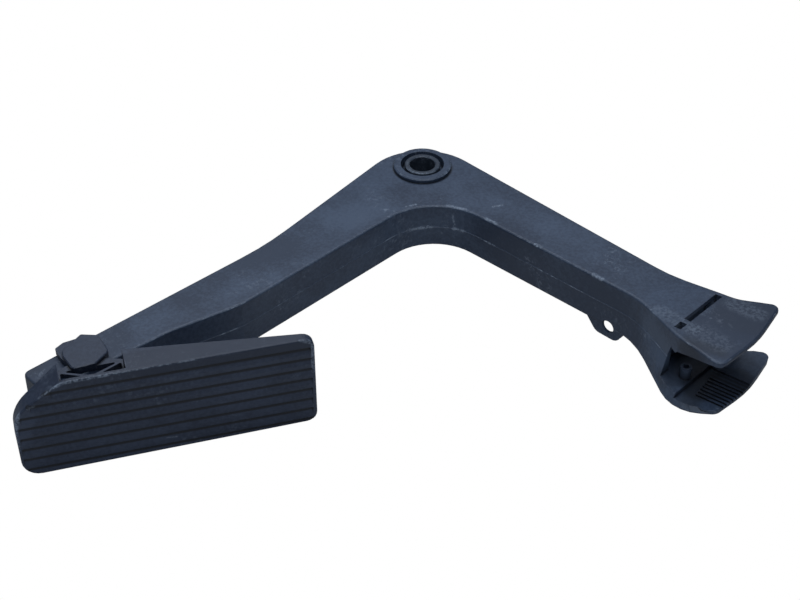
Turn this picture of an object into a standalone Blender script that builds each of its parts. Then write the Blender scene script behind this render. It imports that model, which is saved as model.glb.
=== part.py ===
"""Accelerator pedal: a cranked plastic lever with a pivot bush, and a sprung foot pad hinged to its toe.

The pedal lies on its side. X runs to the right, Y to the back and Z up, parallel to both pivots.
The lever is drawn in plan round its pivot axis, with its parting plane at z = 0. At the end the whole
pedal is moved so that the middle of its footprint is at the origin and its lowest point at z = 0.
"""
import math

import bmesh
import bpy
from mathutils import Matrix, Vector

# Clearance between pieces that touch
GAP = 0.0003
# How far a cutter or a joined piece reaches past the face that it crosses
REACH = 0.002
# Points closer together than this are merged when the lever is bent
SAME_POINT = 0.00002

# Lever arms
ARM_HALF = 0.0116
EDGE_ROUND = 0.0010
DRAFT = 0.0002
PARTING_RIDGE = 0.0002
PARTING_HALF = 0.0003
TOE_ANGLE = math.radians(224.1)
JAW_ANGLE = math.radians(-44.0)
TOE_BACK = 0.0056
TOE_BACK_END = 0.0078
TOE_FRONT_END = 0.0090
TOE_BEND_ALONG = 0.0920
TOE_FRONT_STEPS = ((0.1260, 0.0201), (0.1580, 0.0130))
LONG_ROUND = 0.150
JAW_ARM_FRONT = 0.0085
JAW_ARM_BACK = 0.0148
APEX_FRONT = (0.0174, 0.0117)
APEX_FRONT_ROUND = 0.0285
APEX_UNDER_ROUND = 0.0240
CROWN = (-0.0227, 0.0200)
CROWN_ROUND = 0.0280

# Pivot boss and its bush
BORE_RADIUS = 0.0060
BUSH_RADIUS = 0.0083
BUSH_CHAMFER = 0.0005
BOSS_RADIUS = 0.0135
BOSS_PROUD = 0.0022
BOSS_CHAMFER = 0.0006
GROOVE_RADIUS = 0.01015
GROOVE_DEPTH = 0.0045

# Jaw at the end of the right arm: distances along the arm start at the bulkhead
BULKHEAD_ALONG = 0.1518
JAW_HALF = 0.0149
FLARE_START = -0.0260
FLARE_END = 0.0200
FLARE_STATIONS = 10
JAW_PLATE = 0.0020
JAW_WALL = 0.0025
FLARE_FULL_Z = 0.0058
SILL_HALF = 0.0067
SILL_LENGTH = 0.0145
RIB_COUNT = 9
RIB_PITCH = 0.0021
RIB_WIDTH = 0.0011
RIB_HEIGHT = 0.0009
RIB_START = 0.0172
RIB_EDGE_ACROSS = 0.0006
RIB_SKEW = math.radians(8.0)
BACK_STEP = 0.0009
SLOT_START = 0.0038
SLOT_WIDTH = 0.0031
SLOT_BACK = (-0.0083, 0.0142)
SLOT_FRONT = (-0.0153, -0.0107)
POST_ALONG = 0.0111
POST_ACROSS = -0.0134
POST_RADIUS = 0.0025
POST_HOLE_RADIUS = 0.0013
POST_HEIGHT = 0.0038

# Spring lug under the front side of the right arm
LUG_ALONG = 0.1189
LUG_HOLE_RADIUS = 0.0031
LUG_RIM = 0.0026
LUG_THICK = 0.0018
LUG_RELIEF_DEPTH = 0.0050

# Hinge between the lever's toe and the pad
HINGE_ALONG = 0.1928
HINGE_ACROSS = 0.0038
PIN_RADIUS = 0.0025
PIN_HEAD_RADIUS = 0.0042
PIN_HEAD_THICK = 0.0012
TOE_OVERHANG = 0.0232
EAR_THICK = 0.0039
EAR_PLATE_THICK = 0.0027
EAR_WEB_THICK = 0.0020
EAR_EDGE = 0.0004
PIN_BLIND_WALL = 0.0012

# Torsion spring round the pin
WIRE_RADIUS = 0.0007
COIL_RADIUS = 0.0050
COIL_TURNS = 5
POCKET_HALF = 0.0062
POCKET_SIDE = 0.0085
POCKET_ROUND = 0.0020
SPRING_FOOT_ALONG = 0.0115

# Foot pad, drawn from the hinge axis: X along the pad, Y from the tread to the back
PAD_ANGLE = math.radians(16.7)
TREAD_DISTANCE = 0.0233
PAD_LEFT = 0.0321
PAD_RIGHT = 0.0883
PAD_TOP_LEFT = 0.0225
PAD_TOP_RIGHT = 0.0202
PAD_BOTTOM_LEFT = 0.0230
PAD_BOTTOM_RIGHT = 0.0242
PAD_WALL = 0.0020
PAD_EDGE = 0.0008
PAD_DEPTH_LEFT = 0.0055
PAD_DEPTH_WINDOW = 0.0122
PAD_DEPTH_HINGE = 0.0134
TOE_NOTCH_DEPTH = 0.0076
PAD_DEPTH_RIGHT = 0.0034
WINDOW_LEFT = -0.0119
WINDOW_RIGHT = 0.0136
RIB_WALL = 0.0016
CROSS_RIBS = (0.0300, 0.0470, 0.0640)
TREAD_GROOVES = 8
TREAD_MIDDLE = -0.0008
TREAD_PITCH = 0.0054
TREAD_SLOPE_HEIGHT = 0.0034
TREAD_GROOVE_DEPTH = 0.0009
TREAD_MARGIN = 0.0015
TRUSS_BAR = 0.0013

LEVER = "lever_arm"
PAD = "pedal_pad"


# Scene and materials

def clear_scene():
    for old in list(bpy.data.objects):
        bpy.data.objects.remove(old, do_unlink=True)


def new_collection(name):
    collection = bpy.data.collections.new(name)
    bpy.context.scene.collection.children.link(collection)
    return collection


def plain_material(name, colour, roughness, metallic=0.0):
    material = bpy.data.materials.new(name)
    material.use_nodes = True
    shader = material.node_tree.nodes["Principled BSDF"]
    shader.inputs["Base Color"].default_value = (*colour, 1.0)
    shader.inputs["Roughness"].default_value = roughness
    shader.inputs["Metallic"].default_value = metallic
    return material


# Outlines

def toe_arm(along, across):
    """Plan point on the left arm: along it from the pivot, across it towards the front."""
    direction = Vector((math.cos(TOE_ANGLE), math.sin(TOE_ANGLE)))
    front = Vector((-direction.y, direction.x))
    return direction * along + front * across


def jaw_arm(along, across):
    """Plan point on the right arm: along it from the pivot, across it towards the back."""
    direction = Vector((math.cos(JAW_ANGLE), math.sin(JAW_ANGLE)))
    back = Vector((-direction.y, direction.x))
    return direction * along + back * across


def jaw_part(along, across):
    return jaw_arm(BULKHEAD_ALONG + along, across)


def rib_point(along, across):
    """Plan point on the lower jaw, along and across its ribs, which run askew to the arm."""
    direction = Vector((math.cos(RIB_SKEW), math.sin(RIB_SKEW)))
    back = Vector((-direction.y, direction.x))
    place = direction * along + back * across
    return jaw_part(RIB_START + place.x, RIB_EDGE_ACROSS + place.y)


def rounded(corners):
    """Turns corners (point, radius, steps) into an outline whose corners are arcs."""
    outline = []
    for index, (corner, radius, steps) in enumerate(corners):
        corner = Vector(corner)
        if radius == 0:
            outline.append(corner)
            continue
        before = (Vector(corners[index - 1][0]) - corner).normalized()
        after = (Vector(corners[(index + 1) % len(corners)][0]) - corner).normalized()
        half = before.angle(after) / 2
        centre = corner + (before + after).normalized() * radius / math.sin(half)
        spoke = corner + before * radius / math.tan(half) - centre
        turn = math.pi - 2 * half
        if before.x * after.y - before.y * after.x > 0:
            turn = -turn
        for step in range(steps + 1):
            outline.append(centre + Matrix.Rotation(turn * step / steps, 2) @ spoke)
    return outline


def inset(outline, distance):
    """Moves a counter-clockwise outline inwards by the same distance on every side."""
    moved = []
    for index, point in enumerate(outline):
        before = (point - outline[index - 1]).normalized()
        after = (outline[(index + 1) % len(outline)] - point).normalized()
        inward = Vector((-before.y - after.y, before.x + after.x)).normalized()
        moved.append(point + inward * distance / max(inward.dot(Vector((-before.y, before.x))), 0.5))
    return moved


# Solids

def mesh_object(name, bm, collection):
    bmesh.ops.recalc_face_normals(bm, faces=bm.faces)
    mesh = bpy.data.meshes.new(name)
    bm.to_mesh(mesh)
    bm.free()
    result = bpy.data.objects.new(name, mesh)
    collection.objects.link(result)
    return result


def loft(bm, rings):
    """Skins rings that have as many points each, and closes the first and the last."""
    rows = [[bm.verts.new(point) for point in ring] for ring in rings]
    for low, high in zip(rows, rows[1:]):
        for index in range(len(low)):
            following = (index + 1) % len(low)
            bm.faces.new((low[index], low[following], high[following], high[index]))
    bm.faces.new(rows[0])
    bm.faces.new(rows[-1])


def prism(name, outline, low, high, collection):
    """A flat outline extruded from low to high: a filled 2D curve made into a mesh."""
    curve = bpy.data.curves.new(name, "CURVE")
    curve.dimensions = "2D"
    curve.fill_mode = "BOTH"
    curve.extrude = (high - low) / 2
    spline = curve.splines.new("POLY")
    spline.points.add(len(outline) - 1)
    for point, place in zip(spline.points, outline):
        point.co = (place[0], place[1], 0, 1)
    spline.use_cyclic_u = True
    drawn = bpy.data.objects.new(name + "_outline", curve)
    collection.objects.link(drawn)
    drawn.location.z = (high + low) / 2
    bpy.context.view_layer.update()
    mesh = bpy.data.meshes.new_from_object(drawn.evaluated_get(bpy.context.evaluated_depsgraph_get()))
    bm = bmesh.new()
    bm.from_mesh(mesh)
    bmesh.ops.remove_doubles(bm, verts=bm.verts, dist=1e-7)
    bmesh.ops.dissolve_limit(bm, angle_limit=0.001, verts=bm.verts, edges=bm.edges)
    bm.transform(drawn.matrix_world)
    bpy.data.objects.remove(drawn)
    bpy.data.meshes.remove(mesh)
    return mesh_object(name, bm, collection)


def turned(name, profile, collection, steps=48):
    """A profile (radius, z), run down its outer side, turned round Z."""
    bm = bmesh.new()
    points = [bm.verts.new((radius, 0, z)) for radius, z in profile]
    for upper, lower in zip(points, points[1:]):
        bm.edges.new((upper, lower))
    if profile[0][0] > 0:
        bm.edges.new((points[-1], points[0]))
    mesh = bpy.data.meshes.new(name)
    bm.to_mesh(mesh)
    bm.free()
    result = bpy.data.objects.new(name, mesh)
    collection.objects.link(result)
    screw = result.modifiers.new("turn", "SCREW")
    screw.axis = "Z"
    screw.steps = steps
    screw.render_steps = steps
    screw.use_merge_vertices = True
    screw.merge_threshold = 0.00001
    screw.use_smooth_shade = True
    return result


def box(name, low, high, collection):
    bm = bmesh.new()
    bmesh.ops.create_cube(bm, size=1)
    size = Vector(high) - Vector(low)
    middle = (Vector(high) + Vector(low)) / 2
    bmesh.ops.scale(bm, vec=size, verts=bm.verts)
    bmesh.ops.translate(bm, vec=middle, verts=bm.verts)
    return mesh_object(name, bm, collection)


def boolean(target, tool, operation):
    modifier = target.modifiers.new(tool.name, "BOOLEAN")
    modifier.operation = operation
    modifier.solver = "EXACT"
    modifier.object = tool
    tool.hide_render = True
    tool.display_type = "WIRE"
    return modifier


def cut(target, *tools):
    for tool in tools:
        boolean(target, tool, "DIFFERENCE")


def join(target, *tools):
    for tool in tools:
        boolean(target, tool, "UNION")


def apply_modifiers(target):
    bpy.context.view_layer.update()
    graph = bpy.context.evaluated_depsgraph_get()
    old = target.data
    target.data = bpy.data.meshes.new_from_object(target.evaluated_get(graph))
    target.data.name = target.name
    target.modifiers.clear()
    bpy.data.meshes.remove(old)


def shade(target, angle=30.0):
    target.data.shade_smooth()
    target.data.set_sharp_from_angle(angle=math.radians(angle))


def on_jaw_front(tool):
    """Stands a solid drawn in X and Y upright: X along the right arm, Y up, Z towards the front."""
    tool.rotation_euler = (math.pi / 2, 0, JAW_ANGLE)
    return tool


# Lever

def flare_stations():
    span = FLARE_END - FLARE_START
    return [FLARE_START + span * step / FLARE_STATIONS for step in range(FLARE_STATIONS + 1)]


def flare(along):
    """How far the jaws have opened at a distance from the bulkhead, straight between two stations."""
    place = (along - FLARE_START) / (FLARE_END - FLARE_START) * FLARE_STATIONS
    place = min(max(place, 0.0), FLARE_STATIONS)
    station = min(math.floor(place), FLARE_STATIONS - 1)
    rises = []
    for step in (station, station + 1):
        share = step / FLARE_STATIONS
        rises.append(share * share * (3 - 2 * share))
    rise = rises[0] + (rises[1] - rises[0]) * (place - station)
    return (JAW_HALF - ARM_HALF) * rise


def open_jaws(lever):
    """Bends the straight lever: both jaws rise away from the parting plane at their full thickness."""
    bm = bmesh.new()
    bm.from_mesh(lever.data)
    bmesh.ops.remove_doubles(bm, verts=bm.verts, dist=SAME_POINT)
    direction = jaw_arm(1, 0)
    for along in flare_stations():
        everything = bm.verts[:] + bm.edges[:] + bm.faces[:]
        bmesh.ops.bisect_plane(bm, geom=everything, plane_co=jaw_part(along, 0).to_3d(),
                               plane_no=direction.to_3d())
    for vertex in bm.verts:
        opening = flare(vertex.co.to_2d().dot(direction) - BULKHEAD_ALONG)
        vertex.co.z += opening * min(max(vertex.co.z / FLARE_FULL_Z, -1.0), 1.0)
    bm.to_mesh(lever.data)
    bm.free()


def lever_outline(upper):
    """Plan of the lever at its upper or its lower face: the lower jaw bulges further to the front.

    Both have as many points, so that the front side can lean from one to the other below the parting.
    """
    toe_end = HINGE_ALONG + TOE_OVERHANG
    if upper:
        flare_front = [
            (jaw_part(-0.0185, -JAW_ARM_FRONT), 0.040, 4),
            (jaw_part(0.0090, -0.0202), 0.045, 5),
            (jaw_part(0.0325, -0.0236), 0.0040, 4),
        ]
        back_corner = jaw_part(0.0126, JAW_ARM_BACK + 0.0026)
        apex_round = APEX_FRONT_ROUND
    else:
        flare_front = [
            (jaw_part(-0.0195, -JAW_ARM_FRONT), 0.040, 4),
            (jaw_part(0.0174, -0.0310), 0.017, 5),
            (jaw_part(0.0320, -0.0194), 0.0050, 4),
        ]
        back_corner = jaw_part(0.0170, JAW_ARM_BACK + 0.0007)
        apex_round = APEX_UNDER_ROUND
    bend, step = TOE_FRONT_STEPS
    corners = [
        (toe_arm(toe_end, -TOE_BACK_END), 0.0030, 4),
        (toe_arm(toe_end, TOE_FRONT_END), 0.0040, 4),
        (toe_arm(*step), LONG_ROUND / 4, 2),
        (toe_arm(*bend), LONG_ROUND / 3, 2),
        (jaw_arm(APEX_FRONT[0], -APEX_FRONT[1]), apex_round, 12),
        *flare_front,
        (jaw_part(0.0337, 0.0015), 0.060, 3),
        (jaw_part(0.0283, 0.0266), 0.0032, 6),
        (back_corner, 0.016, 4),
        (jaw_part(-0.0200, JAW_ARM_BACK), LONG_ROUND, 2),
        (jaw_arm(*CROWN), CROWN_ROUND, 14),
        (toe_arm(TOE_BEND_ALONG, -TOE_BACK), LONG_ROUND, 3),
    ]
    return rounded(corners)


def lever_body(collection):
    upper = lever_outline(True)
    lower = lever_outline(False)
    straight = ARM_HALF - EDGE_ROUND
    half_section = [(PARTING_HALF, 0.0), (straight, DRAFT)]
    for degrees in (30, 60, 90):
        angle = math.radians(degrees)
        depth = DRAFT + EDGE_ROUND * (1 - math.cos(angle))
        half_section.append((straight + EDGE_ROUND * math.sin(angle), depth))
    sections = [(-z, depth) for z, depth in reversed(half_section)]
    sections += [(0.0, -PARTING_RIDGE)] + half_section
    rings = []
    for z, depth in sections:
        lean = min(max(-z / straight, 0.0), 1.0)
        plan = [high.lerp(low, lean) for high, low in zip(upper, lower)]
        rings.append([point.to_3d() + Vector((0, 0, z)) for point in inset(plan, depth)])
    bm = bmesh.new()
    loft(bm, rings)
    return mesh_object(LEVER, bm, collection)


def jaw_cutters(collection):
    """Hollow between the jaws, with a sill behind the mouth and two levels on the lower jaw."""
    far = 0.060
    plate = ARM_HALF - JAW_PLATE
    back_wall = JAW_ARM_BACK - JAW_WALL
    chamber = prism("cut_chamber", [
        jaw_part(0, back_wall + 0.0010),
        jaw_part(0, -0.0137),
        jaw_part(0.0090, -0.0177),
        jaw_part(far, -0.0250),
        jaw_part(far, far),
        jaw_part(0.0165, far),
        jaw_part(0.0150, back_wall + 0.0020),
    ], -SILL_HALF, plate, collection)
    recess = prism("cut_recess", [
        jaw_part(SILL_LENGTH, RIB_EDGE_ACROSS),
        jaw_part(SILL_LENGTH, -far),
        jaw_part(far, -far),
        rib_point(far, 0),
        rib_point(0, 0),
    ], RIB_HEIGHT - plate, REACH - SILL_HALF, collection)
    back_recess = prism("cut_back_recess", [
        jaw_part(SILL_LENGTH + REACH / 4, far),
        jaw_part(SILL_LENGTH + REACH / 4, RIB_EDGE_ACROSS - REACH / 2),
        rib_point(0, -REACH / 2),
        rib_point(far, -REACH / 2),
        jaw_part(far, far),
    ], RIB_HEIGHT + BACK_STEP - plate, REACH / 2 - SILL_HALF, collection)
    return chamber, recess, back_recess


def mouth_cutter(collection):
    """Opens the front wall; a web is left hanging under the upper jaw at the mouth's corner."""
    under_plate = ARM_HALF - JAW_PLATE - REACH / 4
    outline = [
        (0.0040, -SILL_HALF),
        (0.0400, -SILL_HALF),
        (0.0400, under_plate),
        (0.0285, under_plate),
        (0.0243, 0.0078),
        (0.0157, 0.0057),
        (0.0098, 0.0046),
        (0.0086, 0.0037),
        (0.0057, 0.0044),
        (0.0043, 0.0010),
    ]
    outline = [Vector((BULKHEAD_ALONG + along, z)) for along, z in outline]
    cutter = prism("cut_mouth", outline, JAW_ARM_FRONT - REACH / 4, 0.060, collection)
    return on_jaw_front(cutter)


def rib_cutter(collection):
    """A comb drawn across the ribs and run along them, out through the lower jaw's end."""
    floor = JAW_PLATE - ARM_HALF
    comb_back = floor + RIB_HEIGHT + REACH / 4
    comb = [Vector((-RIB_WIDTH, comb_back + REACH / 4))]
    for index in range(RIB_COUNT):
        back = -RIB_WIDTH - RIB_PITCH * index
        front = back - (RIB_PITCH - RIB_WIDTH)
        if index:
            comb.append(Vector((back, comb_back)))
        comb.append(Vector((back, floor)))
        comb.append(Vector((front, floor)))
        if index < RIB_COUNT - 1:
            comb.append(Vector((front, comb_back)))
    comb.append(Vector((front, comb_back + REACH / 4)))
    cutter = prism("cut_ribs", comb, 0, 0.060, collection)
    start = rib_point(0, 0)
    along = rib_point(1, 0) - start
    cutter.location = (start.x, start.y, 0)
    cutter.rotation_euler = (math.pi / 2, 0, math.pi / 2 + math.atan2(along.y, along.x))
    return cutter


def slot_cutters(collection):
    cutters = []
    for name, (front, back) in (("cut_slot_back", SLOT_BACK), ("cut_slot_front", SLOT_FRONT)):
        outline = [
            jaw_part(SLOT_START, back),
            jaw_part(SLOT_START, front),
            jaw_part(SLOT_START + SLOT_WIDTH, front),
            jaw_part(SLOT_START + SLOT_WIDTH, back),
        ]
        cutters.append(prism(name, outline, ARM_HALF - JAW_PLATE - REACH, JAW_HALF, collection))
    return cutters


def spring_lug(collection):
    """Flat lug that hangs under the front side, its hole, and the relief in the arm behind the hole."""
    hole_z = -ARM_HALF
    low = hole_z - LUG_HOLE_RADIUS - LUG_RIM
    root = -ARM_HALF + LUG_HOLE_RADIUS + REACH
    outline = rounded([
        ((LUG_ALONG - 0.0116, root), 0, 0),
        ((LUG_ALONG - 0.0112, -ARM_HALF), 0, 0),
        ((LUG_ALONG - 0.0062, low), 0.0045, 4),
        ((LUG_ALONG + 0.0050, low), 0.0045, 5),
        ((LUG_ALONG + 0.0086, -ARM_HALF), 0, 0),
        ((LUG_ALONG + 0.0089, root), 0, 0),
    ])
    face = JAW_ARM_FRONT + DRAFT / 2
    lug = prism("join_lug", outline, face - LUG_THICK, face, collection)
    relief = prism("cut_lug_relief", [
        Vector((LUG_ALONG - 0.0080, low - REACH)),
        Vector((LUG_ALONG + 0.0040, low - REACH)),
        Vector((LUG_ALONG + 0.0040, root - REACH / 2)),
        Vector((LUG_ALONG - 0.0080, root - REACH / 2)),
    ], face - LUG_THICK - LUG_RELIEF_DEPTH, face - LUG_THICK + DRAFT, collection)
    hole = turned("cut_lug_hole", [
        (0, face + REACH),
        (LUG_HOLE_RADIUS, face + REACH),
        (LUG_HOLE_RADIUS, face - LUG_THICK - REACH),
        (0, face - LUG_THICK - REACH),
    ], collection, steps=24)
    for tool in (lug, hole, relief):
        on_jaw_front(tool)
    place = jaw_arm(LUG_ALONG, 0)
    hole.location = (place.x, place.y, hole_z)
    return lug, hole, relief


def boss_disc(collection):
    top = ARM_HALF + BOSS_PROUD
    return turned("join_boss", [
        (0, top),
        (BOSS_RADIUS - BOSS_CHAMFER, top),
        (BOSS_RADIUS, top - BOSS_CHAMFER),
        (BOSS_RADIUS, BOSS_CHAMFER - top),
        (BOSS_RADIUS - BOSS_CHAMFER, -top),
        (0, -top),
    ], collection)


def boss_bore(collection):
    top = ARM_HALF + BOSS_PROUD
    seat = BUSH_RADIUS + GAP
    return turned("cut_boss", [
        (0, top + REACH),
        (GROOVE_RADIUS, top + REACH),
        (GROOVE_RADIUS, top - GROOVE_DEPTH),
        (seat, top - GROOVE_DEPTH),
        (seat, GROOVE_DEPTH - top),
        (GROOVE_RADIUS, GROOVE_DEPTH - top),
        (GROOVE_RADIUS, -top - REACH),
        (0, -top - REACH),
    ], collection)


def jaw_post(collection):
    """Short hollow post on the sill behind the mouth."""
    top = POST_HEIGHT - SILL_HALF
    root = -SILL_HALF - REACH / 2
    post = turned("join_post", [
        (POST_HOLE_RADIUS, top),
        (POST_RADIUS, top),
        (POST_RADIUS, root),
        (POST_HOLE_RADIUS, root),
    ], collection, steps=20)
    place = jaw_part(POST_ALONG, POST_ACROSS)
    post.location = (place.x, place.y, 0)
    return post


def hinge_bore(collection):
    reach = ARM_HALF + REACH
    radius = PIN_RADIUS + GAP
    bore = turned("cut_hinge_bore", [(0, reach), (radius, reach), (radius, -reach), (0, -reach)],
                  collection, steps=32)
    place = toe_arm(HINGE_ALONG, HINGE_ACROSS)
    bore.location = (place.x, place.y, 0)
    return bore


def spring_pocket(collection):
    """Pocket for the coil in the toe, open to the tread."""
    back = HINGE_ACROSS - COIL_RADIUS - WIRE_RADIUS - GAP
    outline = rounded([
        (toe_arm(HINGE_ALONG + POCKET_SIDE, back), POCKET_ROUND, 3),
        (toe_arm(HINGE_ALONG + POCKET_SIDE, 0.040), 0, 0),
        (toe_arm(HINGE_ALONG - POCKET_SIDE, 0.040), 0, 0),
        (toe_arm(HINGE_ALONG - POCKET_SIDE, back), POCKET_ROUND, 3),
    ])
    return prism("cut_pocket", outline, -POCKET_HALF, POCKET_HALF, collection)


def make_lever(parts, tools):
    lever = lever_body(parts)
    lug, lug_hole, lug_relief = spring_lug(tools)
    join(lever, boss_disc(tools), lug)
    cut(lever, boss_bore(tools), lug_relief, lug_hole)
    cut(lever, *jaw_cutters(tools), mouth_cutter(tools))
    cut(lever, *slot_cutters(tools))
    cut(lever, rib_cutter(tools))
    join(lever, jaw_post(tools))
    cut(lever, spring_pocket(tools), hinge_bore(tools))
    apply_modifiers(lever)
    open_jaws(lever)
    shade(lever)
    return lever


def make_bush(parts):
    top = ARM_HALF + BOSS_PROUD
    bush = turned("pivot_bush", [
        (BORE_RADIUS + BUSH_CHAMFER, top),
        (BUSH_RADIUS - BUSH_CHAMFER, top),
        (BUSH_RADIUS, top - BUSH_CHAMFER),
        (BUSH_RADIUS, BUSH_CHAMFER - top),
        (BUSH_RADIUS - BUSH_CHAMFER, -top),
        (BORE_RADIUS + BUSH_CHAMFER, -top),
        (BORE_RADIUS, BUSH_CHAMFER - top),
        (BORE_RADIUS, top - BUSH_CHAMFER),
    ], parts)
    return bush


# Pad

def pad_outline():
    """Outline of the tread: X along the pad, Y up, counter-clockwise seen from the tread."""
    sweep_start = (-0.0112, PAD_TOP_LEFT)
    sweep_end = (-PAD_LEFT, 0.0093)
    return rounded([
        ((-PAD_LEFT, -PAD_BOTTOM_LEFT), 0.0075, 6),
        ((PAD_RIGHT, -PAD_BOTTOM_RIGHT), 0.0045, 5),
        ((PAD_RIGHT, PAD_TOP_RIGHT), 0.0045, 5),
        (sweep_start, 0.010, 4),
        (sweep_end, 0.014, 7),
    ])


def crossings(outline, axis, value):
    """Lowest and highest place where an outline crosses a line on which one coordinate has a value."""
    other = 1 - axis
    places = []
    for point, following in zip(outline, outline[1:] + outline[:1]):
        if (point[axis] - value) * (following[axis] - value) < 0:
            share = (value - point[axis]) / (following[axis] - point[axis])
            places.append(point[other] + (following[other] - point[other]) * share)
    return min(places), max(places)


def pad_tray(collection):
    """Tread and rim: the outline and its edge drawn out to the back, as a shell."""
    bm = bmesh.new()
    front = [bm.verts.new((point.x, -TREAD_DISTANCE, point.y)) for point in pad_outline()]
    tread = bm.faces.new(front)
    drawn = bmesh.ops.extrude_face_region(bm, geom=[tread])
    back = [item for item in drawn["geom"] if isinstance(item, bmesh.types.BMVert)]
    bmesh.ops.translate(bm, vec=(0, PAD_DEPTH_HINGE + REACH, 0), verts=back)
    lid = [item for item in drawn["geom"] if isinstance(item, bmesh.types.BMFace)]
    bmesh.ops.delete(bm, geom=lid, context="FACES_ONLY")
    tray = mesh_object(PAD, bm, collection)
    tread = max(tray.data.polygons, key=lambda face: face.area)
    if tread.normal.y > 0:
        tray.data.flip_normals()
    shell = tray.modifiers.new("shell", "SOLIDIFY")
    shell.thickness = PAD_WALL
    shell.offset = -1
    shell.use_even_offset = True
    bevel = tray.modifiers.new("edge", "BEVEL")
    bevel.width = PAD_EDGE
    bevel.segments = 2
    bevel.limit_method = "ANGLE"
    bevel.angle_limit = math.radians(60)
    return tray


def pad_ribs(collection):
    """Upright ribs across the tray: two that carry the hinge ears and three stiffeners."""
    outline = pad_outline()
    front = -TREAD_DISTANCE + PAD_WALL / 2
    back = front + PAD_DEPTH_HINGE + REACH
    spans = [(WINDOW_LEFT - RIB_WALL, WINDOW_LEFT + REACH), (WINDOW_RIGHT - REACH, WINDOW_RIGHT + RIB_WALL)]
    spans += [(place, place + RIB_WALL) for place in CROSS_RIBS]
    ribs = []
    for index, (left, right) in enumerate(spans):
        heights = [crossings(outline, 0, place) for place in (left, right)]
        low = max(bottom for bottom, top in heights) + PAD_WALL / 2
        high = min(top for bottom, top in heights) - PAD_WALL / 2
        ribs.append(box(f"join_rib_{index + 1}", (left, front, low), (right, back, high), collection))
    return ribs


def rim_trimmer(collection):
    """Cuts the back of the rim and ribs to a wedge, deepest beside the hinge."""
    tread = -TREAD_DISTANCE
    left = -PAD_LEFT - REACH
    right = PAD_RIGHT + REACH
    far = 0.060
    outline = [
        Vector((left, tread + PAD_DEPTH_LEFT)),
        Vector((WINDOW_LEFT, tread + PAD_DEPTH_WINDOW)),
        Vector((WINDOW_RIGHT, tread + PAD_DEPTH_HINGE)),
        Vector((right, tread + PAD_DEPTH_RIGHT)),
        Vector((right, far)),
        Vector((left, far)),
    ]
    return prism("cut_wedge", outline, -0.040, 0.040, collection)


def window_cutter(collection):
    """Opens the rim over and under the hinge, and trims the ribs on both sides of it."""
    front = -TREAD_DISTANCE + PAD_WALL - PAD_EDGE / 4
    return box("cut_window", (WINDOW_LEFT, front, -0.040), (WINDOW_RIGHT, 0.010, 0.040), collection)


def toe_notch(collection):
    """Lets the lever's toe pass the rib on the window's left."""
    half = ARM_HALF + GAP + REACH / 4
    low = (WINDOW_LEFT - RIB_WALL - REACH, -TREAD_DISTANCE + TOE_NOTCH_DEPTH, -half)
    high = (WINDOW_LEFT + REACH, 0.010, half)
    return box("cut_toe_notch", low, high, collection)


def plate_outline():
    """Plate under the cap round the hinge pin: it reaches further to the left than the cap."""
    return rounded([
        ((0.0040, -0.0060), 0.0015, 2),
        ((0.0082, -0.0010), 0.0020, 3),
        ((0.0070, 0.0040), 0.0020, 2),
        ((0.0050, 0.0076), 0.0010, 2),
        ((-0.0014, 0.0108), 0.0010, 2),
        ((-0.0078, 0.0096), 0.0010, 2),
        ((-0.0114, 0.0068), 0.0010, 2),
        ((-0.0098, 0.0004), 0.0015, 2),
        ((-0.0062, -0.0060), 0.0015, 2),
    ])


def cap_outline():
    """Cap round the hinge pin."""
    return rounded([
        ((0.0030, -0.0077), 0.0020, 3),
        ((0.0091, -0.0018), 0.0025, 3),
        ((0.0078, 0.0040), 0.0020, 3),
        ((0.0063, 0.0094), 0.0015, 3),
        ((-0.0004, 0.0118), 0.0010, 3),
        ((-0.0088, 0.0036), 0.0020, 3),
        ((-0.0090, 0.0002), 0.0020, 2),
        ((-0.0062, -0.0086), 0.0020, 3),
    ])


def web_outline():
    """Flat web between the two hinge ribs and the lobe."""
    front = -TREAD_DISTANCE + PAD_WALL / 2
    return [
        Vector((WINDOW_LEFT - RIB_WALL / 2, front)),
        Vector((WINDOW_RIGHT + RIB_WALL / 2, front)),
        Vector((WINDOW_RIGHT + RIB_WALL / 2, -0.0066)),
        Vector((0.0070, -0.0034)),
        Vector((-0.0070, -0.0034)),
        Vector((WINDOW_LEFT - RIB_WALL / 2, -0.0066)),
    ]


def truss_openings():
    """The four triangles that crossed bars leave in the web."""
    front = -TREAD_DISTANCE + PAD_WALL
    back = -0.0070
    left = WINDOW_LEFT
    right = WINDOW_RIGHT
    crossing = Vector(((left + right) / 2, (front + back) / 2 + 0.0010))
    corners = [Vector((left, front)), Vector((right, front)), Vector((right, back)), Vector((left, back))]
    openings = []
    for index, corner in enumerate(corners):
        triangle = [corner, corners[(index + 1) % 4], crossing]
        openings.append(rounded([(point, 0.0005, 2) for point in inset(triangle, TRUSS_BAR / 2)]))
    return openings


def pad_ears(pad, collection):
    """Upper and lower ear: a cap and a plate on a trussed web."""
    inner = ARM_HALF + GAP
    for name, side in (("upper", 1), ("lower", -1)):
        solids = []
        for kind, outline, thick in (("web", web_outline(), EAR_WEB_THICK),
                                     ("plate", plate_outline(), EAR_PLATE_THICK),
                                     ("cap", cap_outline(), EAR_THICK)):
            span = sorted((side * inner, side * (inner + thick)))
            solids.append(prism(f"join_{kind}_{name}", outline, *span, collection))
        web, plate, cap = solids
        edge = cap.modifiers.new("edge", "BEVEL")
        edge.width = EAR_EDGE
        edge.segments = 1
        edge.limit_method = "ANGLE"
        edge.angle_limit = math.radians(60)
        openings = []
        for index, outline in enumerate(truss_openings()):
            low, high = sorted((side * (inner - REACH), side * (inner + EAR_WEB_THICK + REACH)))
            opening = prism(f"cut_truss_{name}_{index + 1}", outline, low, high, collection)
            openings.append(opening)
        cut(web, *openings)
        join(pad, web, plate, cap)


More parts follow.
